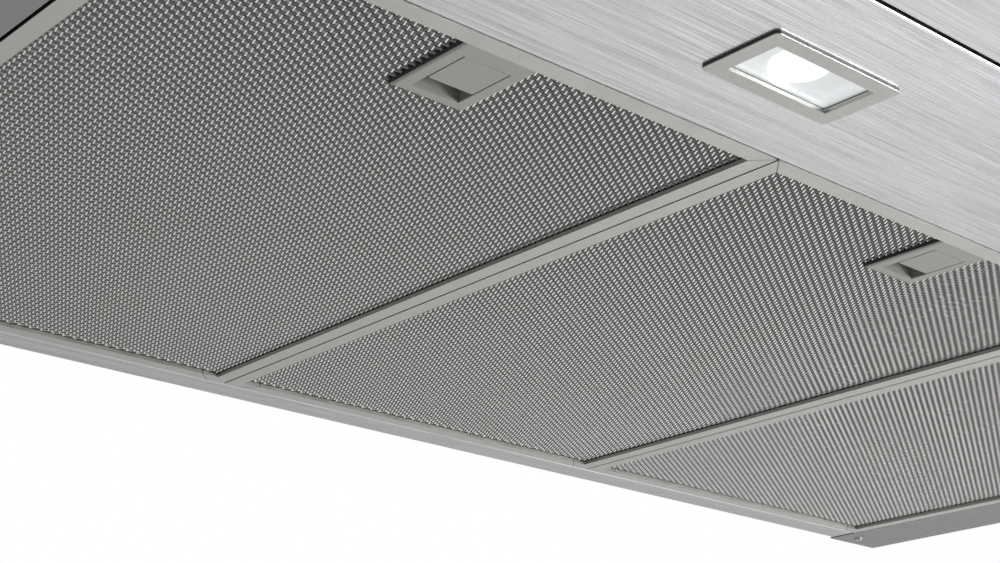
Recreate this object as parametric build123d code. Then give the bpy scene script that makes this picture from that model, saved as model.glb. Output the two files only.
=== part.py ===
from build123d import *
from math import ceil, cos, radians, sin
import os

# A 90 cm wall-mounted chimney range hood with a flat box canopy.
# X runs to the right seen from the front, Y towards the wall and Z up, in millimetres.
# Heights in this file are measured from the underside. The finished hood is moved down by
# hanging_height, so that its origin lies on the wall, midway between the hanging screws.

# Canopy
hood_width = 900.0
hood_depth = 504.0
canopy_height = 46.0
hanging_height = 240.0
sheet = 0.8
bend = 1.0
stiffener_width = 12.0
stiffener_leg = 10.0

# Clearances: seated pieces that move, and how far a cut runs past the faces it opens
seat = 0.3
past = 1.0

# Underside, from the rims inwards and from the fascia to the wall
rim_width = 50.2
rim_lip = 9.0
rim_gap = 1.0
shadow_gap = 2.4
lamp_panel_depth = 98.8
panel_upstand = 10.0
seam = 0.4
ledge_height = 5.9
ledge_depth = 10.0
rear_rail_depth = 18.6
rear_rail_inset = 3.3
rail_end_gap = 2.5
rear_tab_width = 16.0
rear_tab_length = 16.0
safety_hole_radius = 2.5
safety_screw_spacing = 600.0
safety_screw_height = 30.0

# Lamps
lamp_inset = 220.3
bezel_width = 66.2
bezel_depth = 34.5
bezel_stand = 1.2
bezel_corner = 2.0
window_size_x = 52.0
window_size_y = 22.0
lamp_wall = 1.2
lens_overlap = 1.0
lens_play = 0.3
lens_thick = 2.0
lens_recess = 1.5
lens_corner = 1.0
shank_height = 6.0
lamp_housing_height = 10.0
lamp_flange = 3.0
board_thick = 1.6
board_margin = 0.5
emitter_radius = 10.0
emitter_height = 2.5

# Push buttons
button_names = ["light", "off", "low", "medium", "high"]
button_pitch = 22.0
button_height = 23.0
button_radius = 5.5
button_edge = 0.5
button_stand = 1.2
button_travel = 1.0
button_flange = 1.3
button_flange_thick = 1.2
stem_radius = 2.0
ring_play = 0.35
ring_shank = 0.8
ring_width = 1.6
ring_stand = 0.6
carrier_depth = 15.0
carrier_height = 22.0
carrier_wall = 1.6
carrier_margin = 3.0
switch_height = 3.5
switch_width = 6.0

# Electronics box and cable gland
electronics_width = 130.0
electronics_depth = 72.0
electronics_height = 34.0
electronics_inset = 24.8
electronics_corner = 3.0
lid_height = 7.0
lid_groove = 1.0
gland_x = 60.0
gland_bore = 4.0
gland_wall = 2.0
gland_nut_radius = 9.0
gland_nut_height = 5.0
gland_cap_radius = 7.0
gland_cap_height = 14.0
gland_thread_length = 4.0

# Grease filters
filter_names = ["left", "middle", "right"]
filter_gap = 1.0
frame_face = 7.8
frame_lip = 1.9
frame_wall = 1.0
frame_top_lip = 5.5
frame_height = 9.6
mesh_sheet = 2.0
mesh_margin = 3.5
mesh_columns = 4
mesh_rows = 8
mesh_strand = 8.0
foil = 0.4
pleat = 16.0
hook_width = 20.0
hook_spacing = 180.0

# Filter latch, measured back from the inner edge of the frame's front bar
latch_width = 34.0
latch_length = 42.0
latch_wall = 1.5
latch_inset = 0.3
latch_edge_radius = 2.0
window_width = 21.5
window_start = 8.2
window_lip = 1.2
window_ease = 0.4
slide_play = 0.2
key_width = 20.2
key_length = 19.6
key_corner = 0.5
key_flange = 1.6
key_flange_play = 1.0
lug_overlap = 0.4
tongue_width = 12.0
tongue_reach = 6.5
tongue_leaf = 0.5
tongue_nose = 1.5
tongue_root = 5.0
latch_travel = 8.0
channel_width = 2.6
channel_low = 2.4
post_length = 1.6
spring_width = 1.2
spring_wire = 0.3
spring_folds = 8
spring_play = 0.1

# Chimney
hood_height = 628.0
chimney_width = 264.0
chimney_depth = 250.0
lower_sleeve_top = 590.0
upper_sleeve_bottom = 90.0
sleeve_gap = 0.6
wall_return = 10.0
vent_count = 5
vent_height = 5.0
vent_pitch = 12.0
vent_length = 90.0
ceiling_bracket_height = 25.0
ceiling_bracket_leg = 60.0
ceiling_bracket_inset = 4.0
ceiling_hole_radius = 3.0
ceiling_hole_spacing = 180.0

# Blower wheel
wheel_radius = 76.0
wheel_half_width = 80.0
blade_chord = 13.0
blade_lead = 7.0
blade_thick = 1.2
blade_count = 28
blade_inset = 0.5
wheel_disc = 3.0
end_ring_width = 3.0
hub_radius = 11.0
hub_reach = 8.0
hub_hole_count = 6
hub_hole_radius = 6.0
hub_hole_ring = 38.0
shaft_radius = 4.0
shaft_play = 0.06
shaft_depth = 30.0
shaft_end = 3.0
nut_radius = 9.0
nut_length = 6.0

# Scroll, side plates and motor
scroll_sleeve_gap = 4.8
scroll_play = 10.0
scroll_growth = 8.0
scroll_side_play = 8.0
scroll_wall = 2.0
scroll_flange = 5.0
scroll_flange_thick = 3.0
scroll_lift = 18.0
tongue_offset = 12.0
outlet_rise = 98.0
inlet_radius = 65.0
inlet_lip = 2.0
plate_thick = 1.5
plate_margin = 12.0
plate_wall_gap = 2.0
plate_top = 275.0
plate_corner = 20.0
plate_relief = 9.0
foot_width = 16.0
foot_length = 14.0
air_margin = 5.0
rail_height = 30.0
rail_reach = 18.0
hanging_screw_spacing = 140.0
hanging_hole_radius = 4.2
motor_radius = 44.0
motor_shoulder = 6.0
motor_boss_radius = 14.0
motor_hub_gap = 2.0
motor_slot_count = 8
motor_slot_width = 5.0
motor_slot_depth = 4.0
motor_bracket_thick = 3.0
motor_ring_width = 12.0
motor_arm_count = 3
motor_arm_width = 14.0
motor_arm_overlap = 12.0

# Outlet collar and non-return flaps
collar_radius = 75.0
collar_wall = 2.0
collar_height = 48.0
collar_offset = 24.0
adapter_height = 52.0
adapter_shoulder = 3.0
flap_rise = 12.0
flap_pin_radius = 1.5
flap_thick = 1.2
flap_drop = 2.4
flap_play = 0.6
knuckle_radius = 3.2
knuckle_length = 14.0
knuckle_pitch = 32.0
knuckle_tab = 2.0
stop_width = 3.0
stop_thick = 1.5
stop_bar_margin = 1.5

# Screws
screw_radius = 1.7
screw_head_radius = 3.0
screw_head = 0.8
screw_play = 0.1
rim_screw_length = 5.0
foot_screw_length = 6.0
rim_screw_inset = 17.2
rim_screw_y = -11.5

# Places of the canopy and its underside
half_width = hood_width / 2
front = -hood_depth
shell_front = front + sheet
top_inside = canopy_height - sheet
lamp_front = shell_front + shadow_gap
lamp_rear = lamp_front + lamp_panel_depth
rail_rear = -rear_rail_inset
rail_front = rail_rear - rear_rail_depth
rim_inner = half_width - rim_width
rim_screw_x = rim_inner + rim_screw_inset
screw_hole = screw_radius + screw_play
gland_thread = gland_bore + gland_wall

# Places of the lamps, the buttons and the supply box
lamp_x = rim_inner - lamp_inset
lens_size_x = window_size_x + 2 * lens_overlap
lens_size_y = window_size_y + 2 * lens_overlap
shank_size_x = lens_size_x + 2 * (lens_play + lamp_wall)
shank_size_y = lens_size_y + 2 * (lens_play + lamp_wall)
lens_bottom = lens_recess - bezel_stand
ring_bore = button_radius + ring_play
flange_radius = button_radius + button_flange
flange_front = shell_front + ring_shank + seat
carrier_rear = shell_front + carrier_depth
electronics_x = rim_inner - electronics_inset - electronics_width / 2

# Places of the filters and their latches
filter_front = lamp_rear + seam
filter_rear = rail_front - seam
filter_depth = filter_rear - filter_front
filter_middle = (filter_front + filter_rear) / 2
filter_count = len(filter_names)
filter_width = (2 * (rim_inner - rim_gap) - (filter_count - 1) * filter_gap) / filter_count
filter_pitch = filter_width + filter_gap
layer_half_x = filter_width / 2 - frame_wall
layer_half_y = filter_depth / 2 - frame_wall
mesh_top = frame_lip + mesh_sheet
lattice_x = filter_width - 2 * (frame_face + mesh_margin)
lattice_y = filter_depth - 2 * (frame_face + mesh_margin)
latch_y = filter_front + frame_face
tongue_low = ledge_height + seat
tongue_high = tongue_low + key_flange
well_top = tongue_low - slide_play
latch_top = frame_height - frame_wall - slide_play
latch_inner_end = latch_length - latch_wall
key_start = window_start + slide_play
key_end = key_start + key_length
window_end = key_end + latch_travel + window_ease
key_flange_half = latch_width / 2 - latch_wall - key_flange_play
channel_x = window_width / 2 + window_lip + channel_width / 2

# Places of the chimney and the blower
sleeve_half = chimney_width / 2 - sheet - sleeve_gap
sleeve_depth = chimney_depth - sheet - sleeve_gap
ceiling_bracket_middle = hood_height - ceiling_bracket_inset - ceiling_bracket_height / 2
scroll_half = wheel_half_width + scroll_side_play
plate_inner = scroll_half + scroll_wall
plate_outer = plate_inner + plate_thick
scroll_start = wheel_radius + scroll_play
scroll_back = -(scroll_start + 3 * scroll_growth)
scroll_reach = scroll_wall + scroll_flange - scroll_back
blower_y = sheet + scroll_sleeve_gap + scroll_reach - sleeve_depth
collar_y = blower_y - collar_offset
axle_height = canopy_height + scroll_lift + scroll_start + scroll_growth
outlet_height = axle_height + outlet_rise
motor_inner_end = -wheel_disc / 2 - hub_reach - motor_hub_gap
collar_bottom = outlet_height + adapter_height
collar_top = collar_bottom + collar_height
collar_bore = collar_radius - collar_wall
flap_height = collar_bottom + flap_rise
flap_low = flap_height - flap_drop - flap_thick
plate_front = -chimney_depth + plate_margin
plate_rear = -plate_wall_gap
air_half = sleeve_half - sheet - air_margin
air_front = plate_front + foot_length
air_rear = plate_rear - 2 * foot_length
gland_y = air_rear / 2


def block(x, y, z):
    """A block from its lowest and highest x, y and z."""
    size = [high - low for low, high in (x, y, z)]
    return Pos(sum(x) / 2, sum(y) / 2, sum(z) / 2) * Box(*size)


def both_sides(value):
    """The range from minus to plus a value."""
    return (-value, value)


def on_side(side, near, far):
    """The range from near to far on the left, at -1, or on the right, at 1."""
    return sorted((side * near, side * far))


def upright(radius, low, high, x=0.0, y=0.0):
    """A round bar along Z."""
    return Pos(x, y, (low + high) / 2) * Cylinder(radius, high - low)


def across(radius, low, high):
    """A round bar along X."""
    return Pos((low + high) / 2, 0, 0) * Rot(0, 90, 0) * Cylinder(radius, high - low)


def inwards(radius, low, high, x=0.0, z=0.0):
    """A round bar along Y."""
    return Pos(x, (low + high) / 2, z) * Rot(90, 0, 0) * Cylinder(radius, high - low)


def outline(*points):
    """The face inside a closed line of straight edges."""
    return make_face(Polyline(*points, close=True))


def left_of(start, end):
    """The unit vector to the left of a straight run."""
    along = (end - start).normalized()
    return Vector(-along.Y, along.X)


def folded(points, plane, width):
    """A sheet bent along a line that turns left, its thickness to the line's left."""
    outer = [Vector(*point) for point in points]
    sides = [left_of(start, end) for start, end in zip(outer, outer[1:])]
    corners = [(before + after) / (1 + before.dot(after)) for before, after in zip(sides, sides[1:])]
    inner = [point + shift * sheet for point, shift in zip(outer, [sides[0], *corners, sides[-1]])]
    outside = FilletPolyline(*outer, radius=bend)
    inside = FilletPolyline(*inner, radius=bend - sheet)
    ends = [Line(outside @ 0, inside @ 0), Line(outside @ 1, inside @ 1)]
    section = make_face([*outside.edges(), *inside.edges(), *ends])
    return extrude(plane * section, width / 2, both=True)


def zigzag(start, end, folds, low, high, thick):
    """The outline of a strip that folds up and down between two heights."""
    step = (end - start) / folds
    under = [(start + n * step, high if n % 2 else low) for n in range(folds + 1)]
    over = [(x, z + thick) for x, z in reversed(under)]
    return outline(*under, *over)


# Canopy: one sheet folded round the top, the sides and the rims, and the panels that close it

def foot_places():
    """The middle of each foot of the blower's side plates."""
    reach = plate_outer + foot_width / 2
    rows = [plate_front + foot_length / 2, plate_rear - foot_length / 2]
    return [(side * reach, y) for side in (-1, 1) for y in rows]


def canopy_shell():
    """The folded sheet, with the blower's air opening in its top."""
    path = [(rim_inner, rim_lip), (rim_inner, 0), (half_width, 0), (half_width, canopy_height),
            (-half_width, canopy_height), (-half_width, 0), (-rim_inner, 0), (-rim_inner, rim_lip)]
    length = hood_depth - sheet
    shell = Pos(0, -length / 2, 0) * folded(path, Plane.XZ, length)
    top = (top_inside - past, canopy_height + past)
    shell -= block(both_sides(air_half), (air_front, air_rear), top)
    for side in (-1, 1):
        lip = on_side(side, rim_inner - past, rim_inner + bend)
        shell -= block(lip, (rail_front - seam, past), (sheet, rim_lip + past))
        shell -= upright(screw_hole, -past, sheet + past, side * rim_screw_x, rim_screw_y)
    for x, y in foot_places():
        shell -= upright(screw_hole, *top, x, y)
    return shell - upright(gland_thread, *top, gland_x, gland_y)


def button_places():
    """The x of each push button, centred on the fascia."""
    middle = (len(button_names) - 1) / 2
    return [(i - middle) * button_pitch for i in range(len(button_names))]


def front_fascia():
    """The front plate, with a stiffener folded from sheet along its top."""
    plate = block(both_sides(half_width), (front, shell_front), (0, canopy_height))
    plate = fillet(plate.edges().filter_by(Axis.Z).group_by(Axis.Y)[0], sheet / 2)
    path = [(shell_front + stiffener_width, top_inside), (shell_front, top_inside),
            (shell_front, top_inside - stiffener_leg)]
    plate += folded(path, Plane.YZ, 2 * (half_width - sheet - bend))
    for x in button_places():
        plate -= inwards(ring_bore + ring_shank, front - past, shell_front + past, x, button_height)
    return plate


def lamp_places():
    """The middle of each lamp on the lamp panel."""
    y = (lamp_front + lamp_rear) / 2
    return {"left": (-lamp_x, y), "right": (lamp_x, y)}


def lamp_panel():
    """The panel behind the fascia, folded up at the front and into the filters' ledge behind."""
    path = [(lamp_front, panel_upstand), (lamp_front, 0), (lamp_rear, 0),
            (lamp_rear, ledge_height), (lamp_rear - ledge_depth, ledge_height)]
    panel = folded(path, Plane.YZ, 2 * (rim_inner - seat))
    for x, y in lamp_places().values():
        panel -= Pos(x, y, 0) * Box(shank_size_x + 2 * seat, shank_size_y + 2 * seat, 3 * sheet)
    return panel


def rear_panel():
    """The back wall, the narrow rail that shows behind the filters and the ledge they hook on."""
    rail_half = rim_inner - rail_end_gap
    path = [(rail_front + ledge_depth, ledge_height), (rail_front, ledge_height), (rail_front, 0),
            (rail_rear, 0), (rail_rear, top_inside)]
    panel = folded(path, Plane.YZ, 2 * rail_half)
    wall = (rail_rear - sheet, rail_rear)
    for side in (-1, 1):
        panel += block(on_side(side, rail_half, half_width - bend), wall, (sheet, top_inside))
        tab_x = on_side(side, rim_screw_x - rear_tab_width / 2, rim_screw_x + rear_tab_width / 2)
        panel += block(tab_x, (wall[0] - rear_tab_length, wall[0]), (sheet, 2 * sheet))
        panel -= upright(screw_hole, 0, 3 * sheet, side * rim_screw_x, rim_screw_y)
        safety_x = side * safety_screw_spacing / 2
        panel -= inwards(safety_hole_radius, wall[0] - past, wall[1] + past, safety_x, safety_screw_height)
    return panel


def cable_gland():
    """A hexagon nut and a chamfered cap on the canopy top, with the bore for the supply cable."""
    thread_end = top_inside - gland_thread_length
    cap_top = canopy_height + gland_cap_height
    nut = Pos(0, 0, canopy_height) * extrude(RegularPolygon(gland_nut_radius, 6), gland_nut_height)
    cap = upright(gland_cap_radius, canopy_height, cap_top)
    cap = chamfer(cap.edges().group_by(Axis.Z)[-1], gland_wall)
    gland = nut + cap + upright(gland_thread, thread_end, canopy_height)
    gland -= upright(gland_bore, thread_end - past, cap_top + past)
    return Pos(gland_x, gland_y, 0) * gland


# Lamps: a bezel pushed through the panel, a lens behind its lip, and a box with the LED board

def lamp_bezel(x, y):
    """The visible frame, its shank through the panel and the pocket that holds the lens."""
    bezel = extrude(RectangleRounded(bezel_width, bezel_depth, bezel_corner), -bezel_stand)
    bezel += block(both_sides(shank_size_x / 2), both_sides(shank_size_y / 2), (0, shank_height))
    window = Box(window_size_x, window_size_y, 4 * bezel_stand)
    pocket_x = both_sides(lens_size_x / 2 + lens_play)
    pocket_y = both_sides(lens_size_y / 2 + lens_play)
    pocket = block(pocket_x, pocket_y, (lens_bottom, shank_height + past))
    return Pos(x, y, 0) * (bezel - window - pocket)


def lamp_lens(x, y):
    """The flat lens that lies on the bezel's lip."""
    height = (lens_bottom, lens_bottom + lens_thick)
    lens = block(both_sides(lens_size_x / 2), both_sides(lens_size_y / 2), height)
    return Pos(x, y, 0) * fillet(lens.edges().filter_by(Axis.Z), lens_corner)


def led_board(x, y):
    """A white tray under the housing's roof, open to the lens, with the round emitter in it."""
    top = lamp_housing_height - lamp_wall
    bottom = top - board_thick
    rim = lens_bottom + lens_thick + seat
    half_x = lens_size_x / 2 - board_margin
    half_y = lens_size_y / 2 - board_margin
    tray = block(both_sides(half_x), both_sides(half_y), (rim, top))
    tray -= block(both_sides(half_x - lamp_wall), both_sides(half_y - lamp_wall), (rim - past, bottom))
    return Pos(x, y, 0) * (tray + upright(emitter_radius, bottom - emitter_height, bottom))


def lamp_housing(x, y):
    """An inverted box over the bezel's shank, with a flange lying on the panel."""
    inner_x = shank_size_x / 2 + seat
    inner_y = shank_size_y / 2 + seat
    outer_x = inner_x + lamp_wall
    outer_y = inner_y + lamp_wall
    box = block(both_sides(outer_x), both_sides(outer_y), (sheet, lamp_housing_height))
    flange_x = both_sides(outer_x + lamp_flange)
    flange_y = both_sides(outer_y + lamp_flange)
    box += block(flange_x, flange_y, (sheet, sheet + lamp_wall))
    box -= block(both_sides(inner_x), both_sides(inner_y), (0, lamp_housing_height - lamp_wall))
    return Pos(x, y, 0) * box


# Push buttons: five keys in trim rings on the fascia, a carrier behind it and the control board

def button_key(x):
    """A round key with a retaining flange and a stem that ends above its switch."""
    head = inwards(button_radius, front - button_stand, flange_front)
    head = chamfer(head.edges().group_by(Axis.Y)[0], button_edge)
    key = head + inwards(flange_radius, flange_front, flange_front + button_flange_thick)
    key += inwards(stem_radius, flange_front, carrier_rear - switch_height - button_travel - seat)
    return Pos(x, 0, button_height) * key


def button_rings():
    """Trim rings pressed into the fascia, one round each key."""
    ring = inwards(ring_bore + ring_width, front - ring_stand, front)
    ring += inwards(ring_bore + ring_shank, front, shell_front + ring_shank)
    ring -= inwards(ring_bore, front - ring_stand - past, shell_front + ring_shank + past)
    return [Pos(x, 0, button_height) * ring for x in button_places()]


def board_reach():
    """Half the width of the board behind the buttons."""
    return (button_places()[-1] - button_places()[0] + button_pitch) / 2 + carrier_margin - carrier_wall


def button_carrier():
    """A moulded block behind the fascia, with a guide bore for each key and a tray for the board."""
    reach = board_reach() + carrier_wall
    half = carrier_height / 2
    body = block(both_sides(reach), (shell_front, carrier_rear), both_sides(half))
    guide_front = flange_front + button_flange_thick + button_travel + seat
    guide_rear = guide_front + carrier_wall
    for x in button_places():
        body -= inwards(flange_radius + seat, shell_front - past, guide_front, x)
        body -= inwards(stem_radius + seat, guide_front - past, guide_rear + past, x)
    tray = (guide_rear, carrier_rear + past)
    body -= block(both_sides(board_reach()), tray, both_sides(half - carrier_wall))
    return Pos(0, 0, button_height) * body


def control_board():
    """The board that closes the carrier, with a switch behind each key."""
    half = carrier_height / 2 - carrier_wall
    board = block(both_sides(board_reach()), (carrier_rear, carrier_rear + board_thick), both_sides(half))
    switch = block(both_sides(switch_width / 2), (carrier_rear - switch_height, carrier_rear),
                   both_sides(switch_width / 2))
    for x in button_places():
        board += Pos(x, 0, 0) * switch
    return Pos(0, 0, button_height) * board


def electronics_box():
    """The closed box that holds the supply board, standing on the lamp panel behind the fascia."""
    middle = (lamp_front + lamp_rear - ledge_depth) / 2
    top = sheet + electronics_height
    half_x = electronics_width / 2
    half_y = electronics_depth / 2
    box = block(both_sides(half_x), both_sides(half_y), (sheet, top))
    box = fillet(box.edges().filter_by(Axis.Z), electronics_corner)
    line = (top - lid_height, top - lid_height + lid_groove)
    groove = block(both_sides(half_x), both_sides(half_y), line)
    groove -= block(both_sides(half_x - lid_groove), both_sides(half_y - lid_groove), line)
    return Pos(electronics_x, middle, 0) * (box - groove)


# Grease filters: mitred aluminium bars round an expanded sheet and a pleated inner layer

def filter_x(i):
    """The middle of the numbered filter."""
    return (i - (filter_count - 1) / 2) * filter_pitch


def frame_bar(length):
    """One mitred side of a frame, rolled from strip, along X with its outer face on y = 0."""
    inner = frame_face - frame_wall
    top_low = frame_height - frame_wall
    section = outline((0, 0), (frame_face, 0), (frame_face, frame_lip), (inner, frame_lip),
                      (inner, frame_wall), (frame_wall, frame_wall), (frame_wall, top_low),
                      (frame_top_lip, top_low), (frame_top_lip, frame_height), (0, frame_height))
    end = length / 2
    mitre = outline((-end, 0), (end, 0), (end - frame_face, frame_face), (frame_face - end, frame_face))
    return extrude(Plane.YZ * section, end, both=True) & extrude(mitre, frame_height)


def filter_frame(i):
    """Four bars, the front one slotted for the latch tongue, the rear one with two hooks."""
    slot = block(both_sides(tongue_width / 2 + seat), (-past, frame_wall + past),
                 (tongue_low - seat, tongue_high + seat))
    front_bar = frame_bar(filter_width) - slot
    rear_bar = frame_bar(filter_width)
    hook_low = ledge_height + seat
    for side in (-1, 1):
        hook_x = on_side(side, (hook_spacing - hook_width) / 2, (hook_spacing + hook_width) / 2)
        rear_bar += block(hook_x, (seam - ledge_depth, 0), (hook_low, hook_low + frame_wall))
    x = filter_x(i)
    side_bar = frame_bar(filter_depth)
    return [
        Pos(x, filter_front, 0) * front_bar,
        Pos(x, filter_rear, 0) * Rot(0, 0, 180) * rear_bar,
        Pos(x + filter_width / 2, filter_middle, 0) * Rot(0, 0, 90) * side_bar,
        Pos(x - filter_width / 2, filter_middle, 0) * Rot(0, 0, -90) * side_bar,
    ]


def latch_notch(i, low, high):
    """The space the latch housing takes out of the filter's layers."""
    half = latch_width / 2 + seat
    rear = latch_y + latch_length + seat
    return Pos(filter_x(i), 0, 0) * block(both_sides(half), (filter_front, rear), (low - past, high + past))


def mesh_openings():
    """Diamonds staggered by half a cell, cut off along the frame and left out round the latch."""
    half_cell_x = lattice_x / mesh_columns / 2
    half_cell_y = lattice_y / mesh_rows / 2
    wide = half_cell_x - mesh_strand / 2
    tall = half_cell_y - mesh_strand / 2
    diamond = outline((-wide, 0), (0, -tall), (wide, 0), (0, tall))
    places = [(column, row) for column in range(-mesh_columns, mesh_columns + 1)
              for row in range(-mesh_rows, mesh_rows + 1) if (column + row) % 2 == 0]
    diamonds = [Pos(column * half_cell_x, row * half_cell_y) * diamond for column, row in places]
    latch_x = ceil((latch_width / 2 + seat) / half_cell_x) * half_cell_x
    latch_depth = ceil((latch_length + seat - mesh_margin) / half_cell_y) * half_cell_y
    latch_area = Pos(0, (latch_depth - lattice_y) / 2) * Rectangle(2 * latch_x, latch_depth)
    return (Sketch() + diamonds) & (Rectangle(lattice_x, lattice_y) - latch_area)


def filter_mesh(i):
    """The expanded sheet, with one diamond opening for a patch of the real fine ones."""
    face = Rectangle(2 * layer_half_x, 2 * layer_half_y) - mesh_openings()
    layer = Pos(filter_x(i), filter_middle, frame_lip) * extrude(face, mesh_sheet)
    return layer - latch_notch(i, frame_lip, mesh_top)


def filter_core(i):
    """The inner layer of foil, folded in pleats from side to side."""
    low = mesh_top + seat
    high = frame_height - frame_wall - seat - foil
    folds = 2 * int(layer_half_x / pleat)
    section = zigzag(-layer_half_x, layer_half_x, folds, low, high, foil)
    layer = extrude(Plane.XZ * section, layer_half_y, both=True)
    return Pos(filter_x(i), filter_middle, 0) * layer - latch_notch(i, low, high)


# Filter latch: a moulded housing let into the mesh, a sliding key and its springy tongue

def latch_housing(i):
    """The housing, with the window for the key, a chamber above its well and two spring channels."""
    half = latch_width / 2
    chamber_half = half - latch_wall
    body = block(both_sides(half), (0, latch_length), (latch_inset, latch_top))
    lower = body.edges().group_by(Axis.Z)[0]
    body = fillet(lower.filter_by(Axis.Y) + lower.sort_by(Axis.Y)[-1:], latch_edge_radius)
    window_half = window_width / 2
    body -= block(both_sides(window_half), (window_start, window_end), (latch_inset - past, latch_top))
    eased = (window_start - window_ease, window_end + window_ease)
    body -= block(both_sides(window_half + window_ease), eased, (latch_inset + window_lip, latch_top))
    body -= block(both_sides(chamber_half), (latch_wall, latch_inner_end), (well_top, latch_top + past))
    slot = both_sides(tongue_width / 2 + seat)
    body -= block(slot, (-past, latch_wall + past), (well_top, tongue_high + seat))
    channel_start = key_end - post_length - slide_play - past
    lug_low = tongue_high + seat
    for side in (-1, 1):
        channel = on_side(side, channel_x - channel_width / 2, channel_x + channel_width / 2)
        body -= block(channel, (channel_start, latch_inner_end), (channel_low, well_top + past))
        lug = on_side(side, key_flange_half - lug_overlap, chamber_half)
        body += block(lug, (key_end - key_length / 2, key_end), (lug_low, latch_top))
    return Pos(filter_x(i), latch_y, 0) * body


def latch_key(i):
    """The key that a finger slides back, with the arm that backs the tongue and a post for each spring."""
    body = block(both_sides(key_width / 2), (key_start, key_end), (latch_inset, tongue_low))
    body = fillet(body.edges().filter_by(Axis.Z), key_corner)
    body += block(both_sides(key_flange_half), (key_start, key_end), (tongue_low, tongue_high))
    body += block(both_sides(tongue_width / 2), (-frame_face, key_start), (tongue_low, tongue_high))
    half = channel_width / 2 - seat
    for side in (-1, 1):
        post = on_side(side, channel_x - half, channel_x + half)
        body += block(post, (key_end - post_length, key_end), (channel_low + seat, tongue_low))
    return Pos(filter_x(i), latch_y, 0) * body - latch_tongue(i)


def latch_tongue(i):
    """The leaf moulded into the key, whose turned-up nose snaps over the lamp panel's ledge."""
    rear = key_start + tongue_root
    tip = -frame_face - tongue_reach
    under = [(tip, tongue_low + tongue_nose), (tip + tongue_nose, tongue_low), (rear, tongue_low)]
    over = [(y, z + tongue_leaf) for y, z in reversed(under)]
    leaf = extrude(Plane.YZ * outline(*under, *over), tongue_width / 2, both=True)
    return Pos(filter_x(i), latch_y, 0) * leaf


def latch_springs(i):
    """Two flat springs, folded to and fro, between the key's posts and the housing's rear wall."""
    low = channel_low + seat
    high = well_top - seat - spring_wire
    start = key_end + spring_play
    end = latch_inner_end - spring_play
    section = zigzag(start, end, spring_folds, low, high, spring_wire)
    strip = extrude(Plane.YZ * section, spring_width / 2, both=True)
    return [Pos(filter_x(i) + side * channel_x, latch_y, 0) * strip for side in (-1, 1)]


# Chimney: two telescoping sleeves open towards the wall, and the bracket for the upper one

def chimney_lower():
    """The outer sleeve, standing on the canopy and turned in along the wall."""
    half = chimney_width / 2
    path = [(wall_return - half, 0), (-half, 0), (-half, -chimney_depth),
            (half, -chimney_depth), (half, 0), (half - wall_return, 0)]
    height = lower_sleeve_top - canopy_height
    return Pos(0, 0, canopy_height + height / 2) * folded(path, Plane.XY, height)


def chimney_upper():
    """The inner sleeve, with its row of air slots near the bottom, hidden while it is down."""
    rear = -sheet - sleeve_gap
    path = [(-sleeve_half, rear), (-sleeve_half, -sleeve_depth),
            (sleeve_half, -sleeve_depth), (sleeve_half, rear)]
    height = hood_height - upper_sleeve_bottom
    sleeve = Pos(0, 0, upper_sleeve_bottom + height / 2) * folded(path, Plane.XY, height)
    vent = Box(2 * (sleeve_half + past), vent_length, vent_height)
    vent = fillet(vent.edges().filter_by(Axis.X), 0.45 * vent_height)
    for n in range(vent_count):
        sleeve -= Pos(0, -chimney_depth / 2, upper_sleeve_bottom + (n + 2) * vent_pitch) * vent
    return sleeve


def ceiling_bracket():
    """A U-shaped strip inside the top of the upper sleeve, screwed to the wall through its web."""
    half = sleeve_half - sheet
    path = [(half, -ceiling_bracket_leg), (half, 0), (-half, 0), (-half, -ceiling_bracket_leg)]
    bracket = Pos(0, 0, ceiling_bracket_middle) * folded(path, Plane.XY, ceiling_bracket_height)
    for side in (-1, 1):
        hole_x = side * ceiling_hole_spacing / 2
        bracket -= inwards(ceiling_hole_radius, -sheet - past, past, hole_x, ceiling_bracket_middle)
    return bracket


# Blower: side plates on the canopy top, a scroll between them, and the wheel inside it

def on_axle(piece):
    """Moves a piece made round the axis X to the blower's axle."""
    return Pos(0, blower_y, axle_height) * piece


def side_plate(side):
    """A steel plate beside the scroll, with its inlet hole and two feet bent outwards."""
    sides = on_side(side, plate_inner, plate_outer)
    plate = block(sides, (plate_front, plate_rear), (canopy_height, plate_top))
    plate = fillet(plate.edges().filter_by(Axis.X).group_by(Axis.Z)[-1], plate_corner)
    through = on_side(side, plate_inner - past, plate_outer + past)
    plate -= on_axle(across(inlet_radius, *through))
    plate -= block(through, (air_front, air_rear), (canopy_height - past, canopy_height + plate_relief))
    for x, y in foot_places():
        if x * side > 0:
            foot_y = (y - foot_length / 2, y + foot_length / 2)
            foot_z = (canopy_height, canopy_height + plate_thick)
            plate += block(on_side(side, plate_inner, plate_outer + foot_width), foot_y, foot_z)
            plate -= upright(screw_hole, foot_z[0] - past, foot_z[1] + past, x, y)
    return plate


def hanging_rail():
    """The channel between the side plates that hangs on the two wall screws."""
    high = hanging_height + rail_height / 2
    low = hanging_height - rail_height / 2
    rail = folded([(-rail_reach, low), (0, low), (0, high), (-rail_reach, high)], Plane.YZ, 2 * plate_inner)
    for side in (-1, 1):
        hole_x = side * hanging_screw_spacing / 2
        rail -= inwards(hanging_hole_radius, -sheet - past, past, hole_x, hanging_height)
    return rail


def scroll_path():
    """The volute seen along X: three quarter turns, each a step wider, and then the outlet."""
    step = scroll_growth
    first = CenterArc((0, 0), scroll_start, 90, -90)
    second = CenterArc((-step, 0), scroll_start + step, 0, -90)
    third = CenterArc((-step, step), scroll_start + 2 * step, 270, -90)
    mouth_line = Polyline(third @ 1, (scroll_back, outlet_rise), (-tongue_offset, outlet_rise),
                          (-tongue_offset, scroll_start), (0, scroll_start))
    return make_face([first, second, third, *mouth_line.edges()])


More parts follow.
